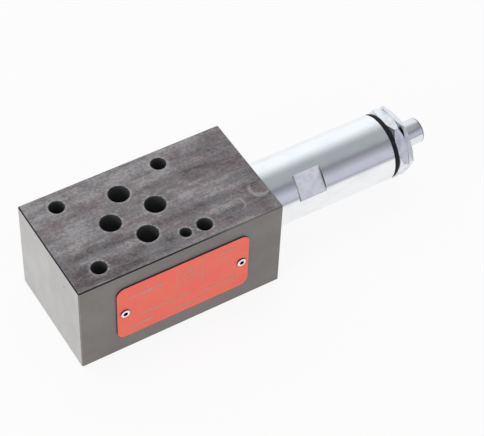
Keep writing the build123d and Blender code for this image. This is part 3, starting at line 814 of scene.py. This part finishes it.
floor_finish, shader, place = new_finish("floor_paper", Base_Color=FLOOR_WHITE, Roughness=1.0)
tree = floor_finish.node_tree
camera_ray, direct_ray = seen_directly(tree)
_, near, _ = split(place)
past_sheet = (direct_ray - camera_ray) * (1 - near.above(*SHEET_FRONT))
glow = place.node("ShaderNodeEmission", inputs={
    "Color": past_sheet.blend(WHITE, PAST_SHEET), "Strength": 1.0,
})
paper = place.node("ShaderNodeMixShader", inputs={
    0: direct_ray * FLOOR_GLOW, 1: Wire(shader.outputs[0]), 2: glow,
})
paper.feed(tree.nodes["Material Output"], "Surface")
floor_form = bmesh.new()
bmesh.ops.create_grid(floor_form, x_segments=1, y_segments=1, size=FLOOR_SIZE / 2)
floor = new_object(floor_form, "floor", floor_finish)

TENT_FRONT = [  # colours from the horizon at 0 to straight up at 1
    (0.0, (0.35, 0.35, 0.38, 1)),
    (0.03, (0.57, 0.56, 0.66, 1)),
    (0.4, (0.58, 0.575, 0.67, 1)),
    (0.52, (0.42, 0.42, 0.485, 1)),
    (0.62, (0.35, 0.35, 0.41, 1)),
    (0.69, (0.255, 0.255, 0.3, 1)),
    (0.765, (0.225, 0.23, 0.27, 1)),
    (0.81, (0.38, 0.4, 0.41, 1)),
    (1.0, (0.42, 0.45, 0.46, 1)),
]
TENT_REAR = [
    (0.0, (0.42, 0.42, 0.46, 1)),
    (0.12, (0.55, 0.55, 0.6, 1)),
    (0.28, (0.85, 0.87, 0.92, 1)),
    (0.42, (1.03, 1.06, 1.1, 1)),
    (0.58, (0.8, 0.82, 0.86, 1)),
    (0.72, (0.5, 0.51, 0.55, 1)),
    (0.88, (0.42, 0.44, 0.46, 1)),
]
TENT_WINDOW = (1.03, 1.06, 1.1, 1)
TENT_LEFT = (0.03, 0.03, 0.035, 1)
FILL = (0.66, 0.66, 0.66, 1)
FRONT_TO_REAR = (0.08, 0.72)  # from here on: components of the direction looked in, -1 to 1
WINDOW_MIDDLE, WINDOW_SIDES = 0.364, (0.14, 0.34)
LEFT_WALL = (-0.85, -0.5)
LEFT_WALL_TOP = (0.5, 0.8)
world = bpy.data.worlds.new("tent")
world.use_nodes = True
bpy.context.scene.world = world
tree = world.node_tree
side, away, up = split(Wire(tree.nodes.new("ShaderNodeTexCoord").outputs["Generated"]))
front = up.node("ShaderNodeValToRGB", {"stops": TENT_FRONT}, {0: up})
rear = up.node("ShaderNodeValToRGB", {"stops": TENT_REAR}, {0: up})
rear = abs(side - WINDOW_MIDDLE).above(*WINDOW_SIDES).blend(TENT_WINDOW, rear)
tent = away.above(*FRONT_TO_REAR).blend(front, rear)
left_wall = (1 - side.above(*LEFT_WALL)) * (1 - up.above(*LEFT_WALL_TOP))
tent = left_wall.blend(tent, TENT_LEFT)
camera_ray, direct_ray = seen_directly(tree)
tent = direct_ray.blend(FILL, tent)
camera_ray.blend(tent, WHITE).feed(tree.nodes["Background"], "Color")

VALVE_MIDDLE = Vector((0.02, 0, 0.02))


def softbox(name, place, size, radiance):
    """Square area lamp that faces the valve; radiance is its surface's brightness, 1 for white."""
    light = bpy.data.lights.new(name, "AREA")
    light.size = size
    light.energy = radiance * math.pi * size * size
    lamp = bpy.data.objects.new(name, light)
    lamp.location = place
    lamp.rotation_euler = (Vector(place) - VALVE_MIDDLE).to_track_quat("Z", "Y").to_euler()
    lamp.visible_glossy = False
    bpy.context.scene.collection.objects.link(lamp)


softbox("left_softbox", place=(-1.2, -0.15, 0.3), size=0.8, radiance=4.0)
softbox("top_softbox", place=(0.1, 0.5, 1.2), size=0.9, radiance=1.2)

# The camera looks down on the valve from its front left, from 0.62 m away. Its place and turn come
# from a fit to the centres of the nine holes in the block's top.
CAMERA_PLACE = (-0.18465, -0.3522, 0.4912)
CAMERA_TURN = (41.305, -1.836, -31.135)  # degrees
CAMERA_LENS = 130.0
CAMERA_NEAREST = 0.01
camera_data = bpy.data.cameras.new("camera")
camera_data.lens = CAMERA_LENS
camera_data.clip_start = CAMERA_NEAREST
camera = bpy.data.objects.new("camera", camera_data)
camera.location = CAMERA_PLACE
camera.rotation_euler = [math.radians(turn) for turn in CAMERA_TURN]
bpy.context.scene.collection.objects.link(camera)
bpy.context.scene.camera = camera
bpy.context.scene.view_settings.view_transform = "Standard"
